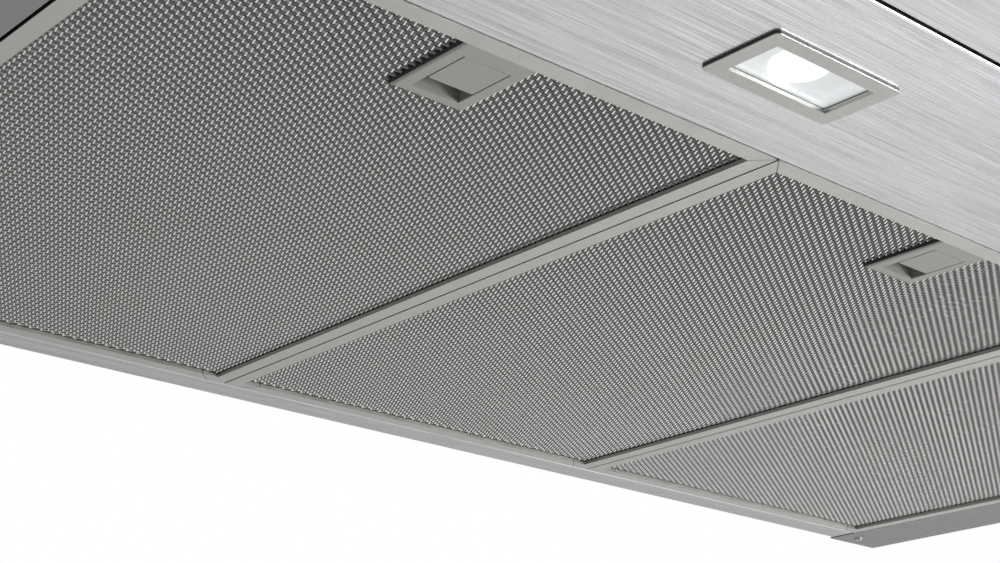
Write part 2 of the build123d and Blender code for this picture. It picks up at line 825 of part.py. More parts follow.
def scroll_shell(side):
    """Half of the moulded scroll, from the split in the middle to its inlet side."""
    inside = scroll_path()
    shell = extrude(offset(inside, scroll_wall, kind=Kind.INTERSECTION), plate_inner)
    rim = offset(inside, scroll_wall + scroll_flange, kind=Kind.INTERSECTION)
    shell += extrude(rim, scroll_flange_thick)
    shell -= Pos(0, 0, -past) * extrude(inside, scroll_half + past)
    shell -= upright(inlet_radius - inlet_lip, 0, plate_inner + past)
    reach = scroll_start + outlet_rise
    shell -= block(both_sides(2 * reach), (outlet_rise, outlet_rise + reach), both_sides(2 * plate_inner))
    if side < 0:
        shell = mirror(shell, Plane.XY)
    return on_axle(Plane.YZ * shell)


def blade_face():
    """One forward-curved blade in the plane of the wheel, which sets out straight to the rim."""
    inner = wheel_radius - blade_chord
    outer = wheel_radius - blade_inset
    hollow = TangentArc((inner, 0), (outer, blade_lead), tangent=(1, 0))
    back = Pos(0, blade_thick) * hollow
    ends = [Line(hollow @ 0, back @ 0), Line(hollow @ 1, back @ 1)]
    return make_face([hollow, back, *ends])


def impeller():
    """The double-inlet wheel: a middle disc, and on each side of it blades held by an end ring."""
    disc_half = wheel_disc / 2
    ring_start = wheel_half_width - end_ring_width
    disc = upright(wheel_radius, -disc_half, disc_half)
    disc += upright(hub_radius, -disc_half - hub_reach, disc_half + hub_reach)
    for n in range(hub_hole_count):
        turn = radians(n * 360 / hub_hole_count)
        x, y = hub_hole_ring * cos(turn), hub_hole_ring * sin(turn)
        disc -= upright(hub_hole_radius, -disc_half - past, disc_half + past, x, y)
    wheel = [disc - upright(shaft_radius, *both_sides(wheel_half_width))]
    blade = Pos(0, 0, disc_half) * extrude(blade_face(), ring_start - disc_half)
    ring = upright(wheel_radius, ring_start, wheel_half_width)
    ring -= upright(wheel_radius - blade_chord, ring_start - past, wheel_half_width + past)
    half_wheel = [ring] + [Rot(0, 0, n * 360 / blade_count) * blade for n in range(blade_count)]
    for piece in half_wheel:
        wheel += [piece, mirror(piece, Plane.XY)]
    return [on_axle(Plane.YZ * piece) for piece in wheel]


def motor_shaft():
    """The shaft runs from inside the motor through the wheel's hub, and ends in a nut."""
    hub_end = wheel_disc / 2 + hub_reach
    shaft = across(shaft_radius, motor_inner_end - shaft_depth, hub_end + nut_length + shaft_end)
    nut = Pos(hub_end, 0, 0) * (Plane.YZ * extrude(RegularPolygon(nut_radius, 6), nut_length))
    return on_axle(shaft + nut)


def motor():
    """The closed motor, with a bored boss for the shaft and cooling slots along its casing."""
    shoulder = motor_inner_end - motor_shoulder
    body = across(motor_radius, -plate_outer, shoulder)
    body = chamfer(body.edges().sort_by(Axis.X)[-1:], motor_shoulder)
    body += across(motor_boss_radius, shoulder - past, motor_inner_end)
    length = (shoulder + plate_outer) / 2
    slot = Pos(length / 2 - plate_outer + motor_shoulder, 0, motor_radius) * Box(
        length, motor_slot_width, 2 * motor_slot_depth)
    for n in range(motor_slot_count):
        body -= Rot(n * 360 / motor_slot_count, 0, 0) * slot
    bore_end = motor_inner_end - shaft_depth - past
    return on_axle(body - across(shaft_radius + shaft_play, bore_end, motor_inner_end + past))


def motor_bracket():
    """A ring behind the motor with arms to the left side plate."""
    low = -plate_outer - motor_bracket_thick
    inner = motor_radius - motor_ring_width
    bracket = across(motor_radius, low, -plate_outer) - across(inner, low - past, past - plate_outer)
    arm = block((low, -plate_outer), both_sides(motor_arm_width / 2),
                (motor_radius - motor_ring_width / 2, inlet_radius + motor_arm_overlap))
    for n in range(motor_arm_count):
        bracket += Rot(n * 360 / motor_arm_count, 0, 0) * arm
    return on_axle(bracket)


# Outlet: a moulded adapter from the scroll's mouth to the duct collar, with two flaps in it

def mouth(margin):
    """The scroll's mouth grown by a margin."""
    middle = blower_y - tongue_offset / 2 + scroll_back / 2
    length = -tongue_offset - scroll_back
    return Pos(0, middle, outlet_height) * Rectangle(2 * (scroll_half + margin), length + 2 * margin)


def adapter_top(inset):
    """The square top of the funnel, an inset inside its outer faces and under its top."""
    size = 2 * (collar_radius + adapter_shoulder - inset)
    return Pos(0, collar_y, collar_bottom - inset) * Rectangle(size, size)


def outlet_adapter():
    """The funnel, its round collar, the flaps' stop ring with a cross bar, and the holes for the pin."""
    funnel = loft([mouth(scroll_wall).face(), adapter_top(0).face()], ruled=True)
    funnel -= loft([mouth(0).face(), adapter_top(scroll_wall).face()], ruled=True)
    funnel -= upright(collar_bore, outlet_height, collar_bottom + past, 0, collar_y)
    collar = upright(collar_radius, collar_bottom, collar_top)
    collar -= upright(collar_bore, collar_bottom - past, collar_top + past)
    stop_top = flap_low - seat
    stop = upright(collar_bore, stop_top - stop_thick, stop_top)
    stop -= upright(collar_bore - stop_width, stop_top - stop_thick - past, stop_top + past)
    stop += block(both_sides(knuckle_radius + stop_bar_margin), both_sides(collar_bore - stop_width / 2),
                  (stop_top - stop_thick, stop_top))
    return funnel + Pos(0, collar_y, 0) * (collar + stop) - flap_pin()


def flap_pin():
    """The pin across the collar, held in the middle of its wall."""
    reach = collar_radius - collar_wall / 2
    return inwards(flap_pin_radius, collar_y - reach, collar_y + reach, 0, flap_height)


def flap(side):
    """A half disc hanging on two knuckles, lying on the stop ring when the blower is off."""
    radius = collar_bore - flap_play
    leaf_edge = knuckle_radius + seat
    height = (flap_low, flap_low + flap_thick)
    leaf = upright(radius, *height)
    leaf &= block(on_side(side, leaf_edge, radius), both_sides(radius), height)
    for n in (-1, 1):
        y = side * knuckle_pitch / 2 + n * knuckle_pitch
        span = (y - knuckle_length / 2, y + knuckle_length / 2)
        leaf += inwards(knuckle_radius, *span, 0, flap_height)
        leaf += block(on_side(side, 0, leaf_edge + knuckle_tab), span, height)
    leaf -= inwards(flap_pin_radius + shaft_play, -radius, radius, 0, flap_height)
    return Pos(0, collar_y, 0) * leaf


# Screws, with their heads outside and their shanks through the sheets

def screw(x, y, z, length, up):
    """A screw whose head lies on z, driven upwards at 1 or downwards at -1."""
    head = upright(screw_head_radius, *on_side(up, -screw_head, 0))
    return Pos(x, y, z) * (head + upright(screw_radius, *on_side(up, 0, length)))


def screws():
    """The two screws in the rims and the four in the blower's feet."""
    rim = [screw(side * rim_screw_x, rim_screw_y, 0, rim_screw_length, 1) for side in (-1, 1)]
    feet = [screw(x, y, canopy_height + plate_thick, foot_screw_length, -1) for x, y in foot_places()]
    return rim + feet


def nodes():
    """Every piece of the hood by its name."""
    pieces = {
        "canopy_shell": canopy_shell(),
        "front_fascia": front_fascia(),
        "lamp_panel": lamp_panel(),
        "rear_panel": rear_panel(),
        "cable_gland": cable_gland(),
        "button_rings": button_rings(),
        "button_carrier": button_carrier(),
        "control_board": control_board(),
        "electronics_box": electronics_box(),
        "chimney_lower": chimney_lower(),
        "chimney_upper": chimney_upper(),
        "ceiling_bracket": ceiling_bracket(),
        "side_plate_left": side_plate(-1),
        "side_plate_right": side_plate(1),
        "hanging_rail": hanging_rail(),
        "scroll_left": scroll_shell(-1),
        "scroll_right": scroll_shell(1),
        "impeller": impeller(),
        "motor_shaft": motor_shaft(),
        "motor": motor(),
        "motor_bracket": motor_bracket(),
        "outlet_adapter": outlet_adapter(),
        "flap_pin": flap_pin(),
        "flap_left": flap(-1),
        "flap_right": flap(1),
        "screws": screws(),
    }
    for name, (x, y) in lamp_places().items():
        pieces["lamp_bezel_" + name] = lamp_bezel(x, y)
        pieces["lamp_lens_" + name] = lamp_lens(x, y)
        pieces["lamp_housing_" + name] = lamp_housing(x, y)
        pieces["led_board_" + name] = led_board(x, y)
    for name, x in zip(button_names, button_places()):
        pieces["button_" + name] = button_key(x)
    for i, name in enumerate(filter_names):
        pieces["filter_frame_" + name] = filter_frame(i)
        pieces["filter_mesh_" + name] = filter_mesh(i)
        pieces["filter_core_" + name] = filter_core(i)
        pieces["latch_housing_" + name] = latch_housing(i)
        pieces["latch_key_" + name] = latch_key(i)
        pieces["latch_tongue_" + name] = latch_tongue(i)
        pieces["latch_springs_" + name] = latch_springs(i)
    return pieces


def save(name, piece):
    """Writes one piece, or a group of like solids, with the origin on the wall screws."""
    pieces = piece if isinstance(piece, list) else [piece]
    lowered = [Pos(0, 0, -hanging_height) * each for each in pieces]
    solids = [solid for each in lowered for solid in each.solids()]
    export_step(Compound(children=solids), f"parts/{name}.step")


os.makedirs("parts", exist_ok=True)
for node, piece in nodes().items():
    save(node, piece)
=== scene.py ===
import math

import bmesh
import bpy
from mathutils import Matrix, Vector


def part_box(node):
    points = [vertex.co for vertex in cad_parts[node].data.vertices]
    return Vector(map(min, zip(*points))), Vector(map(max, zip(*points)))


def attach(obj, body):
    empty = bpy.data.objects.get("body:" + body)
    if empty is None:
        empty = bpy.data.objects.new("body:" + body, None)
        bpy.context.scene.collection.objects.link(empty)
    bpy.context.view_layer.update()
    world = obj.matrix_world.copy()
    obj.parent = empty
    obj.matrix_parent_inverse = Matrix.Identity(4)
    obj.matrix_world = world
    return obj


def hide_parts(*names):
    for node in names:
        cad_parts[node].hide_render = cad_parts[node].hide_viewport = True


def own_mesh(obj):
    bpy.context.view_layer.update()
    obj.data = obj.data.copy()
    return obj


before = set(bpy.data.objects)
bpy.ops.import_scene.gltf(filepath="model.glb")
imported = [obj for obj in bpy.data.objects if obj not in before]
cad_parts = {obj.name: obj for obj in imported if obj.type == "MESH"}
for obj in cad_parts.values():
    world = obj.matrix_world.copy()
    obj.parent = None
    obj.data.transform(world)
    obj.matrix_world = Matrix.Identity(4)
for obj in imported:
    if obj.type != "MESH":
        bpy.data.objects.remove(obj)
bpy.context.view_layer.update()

# Camera
# It stands below the hood's front left corner and looks up at the underside. Its place, turn
# and lens were worked out from the edges of the filters, which are straight and square.
camera_place = Vector((-0.6294, -0.8007, -0.5262))
camera_pitch = math.radians(20.664)
camera_yaw = math.radians(48.379)
camera_lens = 65.117
sensor_width = 36.0
forward = Vector((math.cos(camera_pitch) * math.cos(camera_yaw),
                  math.cos(camera_pitch) * math.sin(camera_yaw), math.sin(camera_pitch)))
camera_data = bpy.data.cameras.new("camera")
camera_data.lens = camera_lens
camera_data.sensor_width = sensor_width
camera_data.clip_start = 0.02
camera_data.clip_end = 50.0
camera_turn = forward.to_track_quat("-Z", "Y").to_matrix().to_4x4()
camera = bpy.data.objects.new("camera", camera_data)
camera.matrix_world = Matrix.Translation(camera_place) @ camera_turn
bpy.context.scene.collection.objects.link(camera)
bpy.context.scene.camera = camera

# Studio
# A plain pale floor well below the hood, a white surround and six soft lamps: one from the
# front left, one low from the front right, one above, one behind, and two over the floor to the
# right, which the sheets and the mesh of the underside mirror.
floor_height = -1.9
floor_size = 24.0
floor_color = (0.82, 0.82, 0.82)
surround_light = 0.3


def lamp(name, place, target, size, power):
    """A square soft lamp at a place, turned to a target, and not seen itself."""
    data = bpy.data.lights.new(name, "AREA")
    data.shape = "SQUARE"
    data.size = size
    data.energy = power
    light = bpy.data.objects.new(name, data)
    aim = (Vector(target) - Vector(place)).to_track_quat("-Z", "Y")
    light.matrix_world = Matrix.Translation(Vector(place)) @ aim.to_matrix().to_4x4()
    light.visible_camera = False
    bpy.context.scene.collection.objects.link(light)


lamp("lamp_front_left", place=(-2.2, -2.6, 0.9), target=(0, -0.2, -0.1), size=3.0, power=12)
lamp("lamp_front_right", place=(1.9, -2.3, -1.25), target=(0, -0.25, -0.24), size=1.0, power=60)
lamp("lamp_above", place=(0.6, -1.2, 2.4), target=(0, -0.2, 0.0), size=2.6, power=5)
lamp("lamp_far_floor", place=(3.6, 2.6, 2.4), target=(3.6, 2.6, floor_height), size=4.0, power=76)
lamp("lamp_near_floor", place=(2.2, 0.45, -0.4), target=(2.2, 0.45, floor_height), size=1.0, power=22)
lamp("lamp_behind", place=(-0.8, 2.4, 1.0), target=(0, 0, 0.1), size=2.8, power=10)

world = bpy.data.worlds.new("surround")
bpy.context.scene.world = world
world.use_nodes = True
world_nodes, world_links = world.node_tree.nodes, world.node_tree.links
world_nodes.clear()
path = world_nodes.new("ShaderNodeLightPath")
seen = world_nodes.new("ShaderNodeMath")
seen.operation = "MAXIMUM"
through = world_nodes.new("ShaderNodeMath")
through.operation = "MAXIMUM"
soft = world_nodes.new("ShaderNodeBackground")
soft.inputs["Strength"].default_value = surround_light
white = world_nodes.new("ShaderNodeBackground")
white.inputs["Color"].default_value = (1, 1, 1, 1)
white.inputs["Strength"].default_value = 1.0
blend = world_nodes.new("ShaderNodeMixShader")
out = world_nodes.new("ShaderNodeOutputWorld")
world_links.new(path.outputs["Is Camera Ray"], seen.inputs[0])
world_links.new(path.outputs["Is Glossy Ray"], seen.inputs[1])
world_links.new(seen.outputs[0], through.inputs[0])
world_links.new(path.outputs["Is Transmission Ray"], through.inputs[1])
world_links.new(through.outputs[0], blend.inputs[0])
world_links.new(soft.outputs[0], blend.inputs[1])
world_links.new(white.outputs[0], blend.inputs[2])
world_links.new(blend.outputs[0], out.inputs[0])

floor_mesh = bpy.data.meshes.new("floor")
floor = bpy.data.objects.new("floor", floor_mesh)
bpy.context.scene.collection.objects.link(floor)
shape = bmesh.new()
bmesh.ops.create_grid(shape, x_segments=1, y_segments=1, size=floor_size / 2,
                      matrix=Matrix.Translation((0, 0, floor_height)))
shape.to_mesh(floor_mesh)
shape.free()
floor_paint = bpy.data.materials.new("floor_paint")
floor_paint.use_nodes = True
floor_shader = floor_paint.node_tree.nodes["Principled BSDF"]
floor_shader.inputs["Base Color"].default_value = (*floor_color, 1)
floor_shader.inputs["Roughness"].default_value = 0.9
floor_mesh.materials.append(floor_paint)

bpy.context.scene.view_settings.view_transform = "Standard"

# Lamp panel, rear rail and fascia
# These three are folded from brushed stainless steel sheet, and so are the canopy and the
# chimney. The sheet has a fine straight grain, which runs here from side to side.
steel_color = (0.68, 0.685, 0.69)
steel_roughness = 0.28
steel_contrast = 0.24
steel_depth = 0.00002
upright_shade_share = 0.8
grain_length = 0.05
grain_width = 0.0004
fine_share = 0.75
wide_scale = 0.14
darkest_line = 0.36
lightest_line = 0.60
metal_spread = 0.1


def shader_group(name, inputs, outputs):
    """An empty shader node group with the named inputs and outputs."""
    group = bpy.data.node_groups.new(name, "ShaderNodeTree")
    for label, kind in inputs:
        group.interface.new_socket(label, in_out="INPUT", socket_type=kind)
    for label, kind in outputs:
        group.interface.new_socket(label, in_out="OUTPUT", socket_type=kind)
    return group, group.nodes.new("NodeGroupInput"), group.nodes.new("NodeGroupOutput")


def math_node(group, operation, first, second=0.0):
    """A math node whose inputs are sockets or numbers."""
    node = group.nodes.new("ShaderNodeMath")
    node.operation = operation
    for socket, value in zip(node.inputs, (first, second)):
        if isinstance(value, bpy.types.NodeSocket):
            group.links.new(value, socket)
        else:
            socket.default_value = value
    return node.outputs[0]


def grain_group():
    """Straight grain: a color between a dark and a light one, a roughness and a height."""
    group, given, result = shader_group(
        "sheet_grain",
        [("Grid", "NodeSocketVector"), ("Dark", "NodeSocketColor"), ("Light", "NodeSocketColor"),
         ("Roughness", "NodeSocketFloat"), ("Spread", "NodeSocketFloat")],
        [("Color", "NodeSocketColor"), ("Roughness", "NodeSocketFloat"), ("Height", "NodeSocketFloat")])
    coordinates = group.nodes.new("ShaderNodeTexCoord")
    stretch = group.nodes.new("ShaderNodeVectorMath")
    stretch.operation = "MULTIPLY"
    group.links.new(coordinates.outputs["Object"], stretch.inputs[0])
    group.links.new(given.outputs["Grid"], stretch.inputs[1])
    fine = group.nodes.new("ShaderNodeTexNoise")
    fine.inputs["Scale"].default_value = 1.0
    fine.inputs["Detail"].default_value = 3.0
    fine.inputs["Roughness"].default_value = 0.62
    group.links.new(stretch.outputs[0], fine.inputs["Vector"])
    wide = group.nodes.new("ShaderNodeTexNoise")
    wide.inputs["Scale"].default_value = wide_scale
    wide.inputs["Detail"].default_value = 2.0
    group.links.new(stretch.outputs[0], wide.inputs["Vector"])
    lines = math_node(group, "ADD", math_node(group, "MULTIPLY", fine.outputs["Fac"], fine_share),
                      math_node(group, "MULTIPLY", wide.outputs["Fac"], 1 - fine_share))
    ramp = group.nodes.new("ShaderNodeMapRange")
    ramp.inputs["From Min"].default_value = darkest_line
    ramp.inputs["From Max"].default_value = lightest_line
    group.links.new(lines, ramp.inputs["Value"])
    tint = group.nodes.new("ShaderNodeMix")
    tint.data_type = "RGBA"
    group.links.new(ramp.outputs["Result"], tint.inputs["Factor"])
    group.links.new(given.outputs["Dark"], tint.inputs["A"])
    group.links.new(given.outputs["Light"], tint.inputs["B"])
    group.links.new(tint.outputs["Result"], result.inputs["Color"])
    half_way = math_node(group, "SUBTRACT", 0.5, ramp.outputs["Result"])
    change = math_node(group, "MULTIPLY", half_way, given.outputs["Spread"])
    group.links.new(math_node(group, "ADD", given.outputs["Roughness"], change), result.inputs["Roughness"])
    group.links.new(lines, result.inputs["Height"])
    return group


sheet_grain = grain_group()


def plain_material(name, color, metallic, roughness):
    """A material with its shader, and the tree that the finish is added to."""
    material = bpy.data.materials.new(name)
    material.use_nodes = True
    shader = material.node_tree.nodes["Principled BSDF"]
    shader.inputs["Base Color"].default_value = (*color, 1)
    shader.inputs["Metallic"].default_value = metallic
    shader.inputs["Roughness"].default_value = roughness
    return material, material.node_tree, shader


def shade(color, share):
    """A color made darker or lighter by a share."""
    return tuple(min(1.0, part * share) for part in color)


def textured(name, color, metallic, roughness, grid, contrast, spread, depth):
    """A material whose color, roughness and relief follow the grain."""
    material, tree, shader = plain_material(name, color, metallic, roughness)
    grain = tree.nodes.new("ShaderNodeGroup")
    grain.node_tree = sheet_grain
    grain.inputs["Grid"].default_value = grid
    grain.inputs["Dark"].default_value = (*shade(color, 1 - contrast), 1)
    grain.inputs["Light"].default_value = (*shade(color, 1 + contrast), 1)
    grain.inputs["Roughness"].default_value = roughness
    grain.inputs["Spread"].default_value = spread
    relief = tree.nodes.new("ShaderNodeBump")
    relief.inputs["Strength"].default_value = 1.0
    relief.inputs["Distance"].default_value = depth
    tree.links.new(grain.outputs["Color"], shader.inputs["Base Color"])
    tree.links.new(grain.outputs["Roughness"], shader.inputs["Roughness"])
    tree.links.new(grain.outputs["Height"], relief.inputs["Height"])
    tree.links.new(relief.outputs["Normal"], shader.inputs["Normal"])
    return material


def grained(name, color, roughness, grid, contrast, depth):
    """Metal with a straight grain, or with an even one where the grid is the same each way."""
    return textured(name, color, metallic=1.0, roughness=roughness, grid=grid, contrast=contrast,
                    spread=metal_spread, depth=depth)


def brushed(name, color, grid):
    """The hood's own steel sheet, in a color and with its grain one way."""
    return grained(name, color, steel_roughness, grid, steel_contrast, steel_depth)


def dress(name, material):
    """Gives a piece of the frame its material."""
    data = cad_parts[name].data
    data.materials.clear()
    data.materials.append(material)


along_x = (1 / grain_length, 1 / grain_width, 1 / grain_width)
canopy_steel = brushed("canopy_steel", steel_color, along_x)
# The upright fascia takes a darker copy of the same steel: painted shade.
fascia_steel = brushed("fascia_steel", shade(steel_color, upright_shade_share), along_x)
for name in ("lamp_panel", "rear_panel"):
    dress(name, canopy_steel)
dress("front_fascia", fascia_steel)

# Canopy shell
# The same sheet, folded round the top and the sides, with two rims below and lips folded up from
# them beside the filters. The rims are painted in a darker copy of the steel and the lips nearly
# black: painted shade, which the light alone doesn't give.
rim_shade_share = 0.52
rim_painted_shade = shade(steel_color, rim_shade_share)
painted_shadow_color = (0.012, 0.012, 0.012)
rim_gap = 0.001
lip_reach = 0.0004
rail_reach = 0.003
rim_top = 0.0008


def darken(material, group, color):
    """Lays a color over a material where the group's mask is one."""
    tree = material.node_tree
    base = tree.nodes["Principled BSDF"].inputs["Base Color"]
    mask = tree.nodes.new("ShaderNodeGroup")
    mask.node_tree = group
    tint = tree.nodes.new("ShaderNodeMix")
    tint.data_type = "RGBA"
    tint.inputs["B"].default_value = (*color, 1)
    tree.links.new(base.links[0].from_socket, tint.inputs["A"])
    tree.links.new(mask.outputs["Mask"], tint.inputs["Factor"])
    tree.links.new(tint.outputs["Result"], base)
    return mask


def object_place(tree):
    """The sockets X, Y and Z of a point on the piece."""
    coordinates = tree.nodes.new("ShaderNodeTexCoord")
    parts = tree.nodes.new("ShaderNodeSeparateXYZ")
    tree.links.new(coordinates.outputs["Object"], parts.inputs[0])
    return parts.outputs


def side_strips(name, start, end, top):
    """A mask of what lies between two distances from the middle, left and right, up to a height."""
    group, _, result = shader_group(name, [], [("Mask", "NodeSocketFloat")])
    point = object_place(group)
    aside = math_node(group, "ABSOLUTE", point["X"])
    between = math_node(group, "MULTIPLY", math_node(group, "GREATER_THAN", aside, start),
                        math_node(group, "LESS_THAN", aside, end))
    below = math_node(group, "LESS_THAN", point["Z"], top)
    group.links.new(math_node(group, "MULTIPLY", between, below), result.inputs["Mask"])
    return group


low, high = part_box("canopy_shell")
rim_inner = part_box("filter_frame_right")[1].x + rim_gap
shell_steel = brushed("shell_steel", steel_color, along_x)
# Painted shade: the rims darker than the panels, the lips nearly black.
darken(shell_steel, side_strips("rims", rim_inner, high.x, low.z + rim_top), rim_painted_shade)
darken(shell_steel, side_strips("lips", rim_inner - rail_reach, rim_inner + lip_reach, high.z), painted_shadow_color)
dress("canopy_shell", shell_steel)

# Chimney
# Two sleeves of the same sheet, one sliding in the other, with the grain running upwards. They
# stand upright like the fascia and take its darker copy of the steel, which is painted shade.
along_z = (1 / grain_width, 1 / grain_width, 1 / grain_length)
chimney_steel = brushed("chimney_steel", shade(steel_color, upright_shade_share), along_z)
for name in ("chimney_lower", "chimney_upper"):
    dress(name, chimney_steel)

# Grease filter frames
# Each frame is four bars rolled from aluminium strip, cut at 45 degrees and pressed together at
# the corners, where a thin dark line shows. The finish is satin and slightly warm.
filter_names = ("left", "middle", "right")
frame_color = (0.60, 0.60, 0.575)
seam_color = (0.16, 0.16, 0.15)
seam_width = 0.00028


def seam_group():
    """A mask of the four corner seams of a rectangle with a given middle and half size."""
    group, given, result = shader_group(
        "corner_seams", [("Middle", "NodeSocketVector"), ("Half size", "NodeSocketVector")],
        [("Mask", "NodeSocketFloat")])
    coordinates = group.nodes.new("ShaderNodeTexCoord")
    steps = [("SUBTRACT", given.outputs["Middle"]), ("ABSOLUTE", None),
             ("SUBTRACT", given.outputs["Half size"])]
    place = coordinates.outputs["Object"]
    for operation, other in steps:
        node = group.nodes.new("ShaderNodeVectorMath")
        node.operation = operation
        group.links.new(place, node.inputs[0])
        if other is not None:
            group.links.new(other, node.inputs[1])
        place = node.outputs["Vector"]
    parts = group.nodes.new("ShaderNodeSeparateXYZ")
    group.links.new(place, parts.inputs[0])
    off_seam = math_node(group, "SUBTRACT", parts.outputs["X"], parts.outputs["Y"])
    apart = math_node(group, "ABSOLUTE", off_seam)
    group.links.new(math_node(group, "LESS_THAN", apart, seam_width), result.inputs["Mask"])
    return group


corner_seams = seam_group()
for name in filter_names:
    low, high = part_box(f"filter_frame_{name}")
    material = grained(f"frame_aluminium_{name}", frame_color, roughness=0.42, grid=(60, 60, 60),
                       contrast=0.03, depth=0.000004)
    seam = darken(material, corner_seams, seam_color)
    seam.inputs["Middle"].default_value = (low + high) / 2
    seam.inputs["Half size"].default_value = (high - low) / 2
    dress(f"filter_frame_{name}", material)

# Grease filter mesh
# A sheet of aluminium, slit and pulled open into small diamonds, whose strands tilt a little. It
# lies in the rolled frame and is cut out round the latch. The bonds, where two strands stay
# joined, and their cut edges are painted near white, a painted highlight, and the strands dark,
# a painted shade.
long_way = 0.00596
short_way = 0.00363
strand_width = 0.00093
strand_slope = math.radians(26)
bond_length = 0.0005
strand_thickness = 0.00035
frame_face = 0.0078
mesh_inset = 0.001
merge_distance = strand_width / 50
cut_slack = 1e-7
strand_shade_color = (0.20, 0.20, 0.194)
bond_highlight_color = (0.97, 0.97, 0.95)
cut_color = (0.40, 0.40, 0.39)
bond_tilt = 0.05
plastic_contrast = 0.03
plastic_spread = 0.05
rise = strand_width * math.sin(strand_slope)
run = strand_width * math.cos(strand_slope)
swing = (short_way / 2 - run) / 2


def strand_row(shape, periods):
    """One row of strands along X: a line that swings from bond to bond, drawn out to its width."""
    half_bond = bond_length / 2
    line = []
    for n in range(periods + 1):
        middle = n * long_way
        line += [(middle - half_bond, 1), (middle + half_bond, 1)]
        line += [(middle + long_way / 2 - half_bond, -1), (middle + long_way / 2 + half_bond, -1)]
    verts = [shape.verts.new((x, side * swing - run / 2, (side * rise + rise) / 2)) for x, side in line]
    edges = [shape.edges.new(pair) for pair in zip(verts, verts[1:])]
    drawn = bmesh.ops.extrude_edge_only(shape, edges=edges)
    moved = [piece for piece in drawn["geom"] if isinstance(piece, bmesh.types.BMVert)]
    bmesh.ops.translate(shape, verts=moved, vec=(0, run, -rise))


def cut_away(shape, point, normal):
    """Cuts the shape along a plane and clears what lies beyond it."""
    bmesh.ops.bisect_plane(shape, geom=shape.verts[:] + shape.edges[:] + shape.faces[:],
                           dist=cut_slack, plane_co=point, plane_no=normal, clear_outer=True)


def mesh_patch(low, high):
    """Diamonds laid over a rectangle in X and Y, with their rows in step with the hood's origin."""
    periods = math.ceil((high.x - low.x) / long_way) + 1
    first = math.floor(low.y / (short_way / 2)) - 1
    last = math.ceil(high.y / (short_way / 2)) + 1
    shape = bmesh.new()
    strand_row(shape, periods)
    row = shape.verts[:] + shape.edges[:] + shape.faces[:]
    left = math.floor(low.x / long_way) * long_way
    for number in range(first, last):
        copy = bmesh.ops.duplicate(shape, geom=row)
        moved = [piece for piece in copy["geom"] if isinstance(piece, bmesh.types.BMVert)]
        shift = (left - (number % 2) * long_way / 2, number * short_way / 2, 0)
        bmesh.ops.translate(shape, verts=moved, vec=shift)
    bmesh.ops.delete(shape, geom=row, context="VERTS")
    bmesh.ops.remove_doubles(shape, verts=shape.verts[:], dist=merge_distance)
    cut_away(shape, low, (-1, 0, 0))
    cut_away(shape, low, (0, -1, 0))
    cut_away(shape, high, (1, 0, 0))
    cut_away(shape, high, (0, 1, 0))
    bmesh.ops.recalc_face_normals(shape, faces=shape.faces[:])
    return shape


def new_piece(name, shape, material, body):
    """Makes the shape a piece that rides on a body."""
    data = bpy.data.meshes.new(name)
    shape.to_mesh(data)
    shape.free()
    data.materials.append(material)
    piece = bpy.data.objects.new(name, data)
    bpy.context.scene.collection.objects.link(piece)
    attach(piece, body)
    return piece


def moulded(name, color, roughness, grid, depth):
    """A matt surface with a fine even texture, such as moulded plastic or a sheared edge."""
    return textured(name, color, metallic=0.0, roughness=roughness, grid=(grid, grid, grid),
                    contrast=plastic_contrast, spread=plastic_spread, depth=depth)


# The strands take a dark copy of the aluminium (painted shade), the bonds a near-white one (painted
# highlight).
mesh_aluminium = grained("mesh_aluminium", strand_shade_color, roughness=0.32, grid=(300, 300, 300),
                         contrast=0.04, depth=0.000004)
bond_aluminium = grained("bond_aluminium", bond_highlight_color, roughness=0.18, grid=(300, 300, 300),
                         contrast=0.02, depth=0.000002)
strand_cut = moulded("strand_cut", cut_color, roughness=0.5, grid=900, depth=0.000002)
bond_cut = moulded("bond_cut", bond_highlight_color, roughness=0.4, grid=900, depth=0.000002)
sheet_finishes = (mesh_aluminium, bond_aluminium)
cut_finishes = (strand_cut, bond_cut)
for name in filter_names:
    low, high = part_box(f"filter_frame_{name}")
    mesh_low, mesh_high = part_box(f"filter_mesh_{name}")
    latch_low, latch_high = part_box(f"latch_housing_{name}")
    left, right = low.x + frame_face, high.x - frame_face
    front, rear = latch_low.y, mesh_high.y + mesh_inset - frame_face
    middle = (latch_high.y + rear) / 2
    level = mesh_low.z + rise + strand_thickness / 2
    patches = {
        "front_left": ((left, front), (latch_low.x, latch_high.y)),
        "front_right": ((latch_high.x, front), (right, latch_high.y)),
        "middle": ((left, latch_high.y), (right, middle)),
        "rear": ((left, middle), (right, rear)),
    }
    for spot, (start, end) in patches.items():
        shape = mesh_patch(Vector((*start, 0)), Vector((*end, 0)))
        bmesh.ops.translate(shape, verts=shape.verts[:], vec=(0, 0, level))
        # Faces that lie across the strands' swing, the bonds, take the bright copy: painted highlight.
        for face in shape.faces:
            face.material_index = int(abs(face.normal.x) < bond_tilt)
        piece = new_piece(f"mesh_{name}_{spot}", shape, mesh_aluminium, f"{name}_filter")
        for material in (bond_aluminium, *cut_finishes):
            piece.data.materials.append(material)
        wall = piece.modifiers.new("thickness", "SOLIDIFY")
        wall.thickness = strand_thickness
        wall.offset = 0.0
        wall.material_offset_rim = len(sheet_finishes)
        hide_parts(f"filter_mesh_{name}")

# Grease filter core
# Layers of aluminium foil behind the mesh, which catch the grease, painted nearly black as a
# painted shade of the filter's inside. They lie in the rolled frame and swing down with it.
shaded_foil_aluminium = grained("shaded_foil_aluminium", color=(0.03, 0.03, 0.03), roughness=0.5, grid=(200, 200, 200),
                         contrast=0.08, depth=0.00001)
for name in filter_names:
    # The foil's near-black colour is painted shade.
    dress(f"filter_core_{name}", shaded_foil_aluminium)

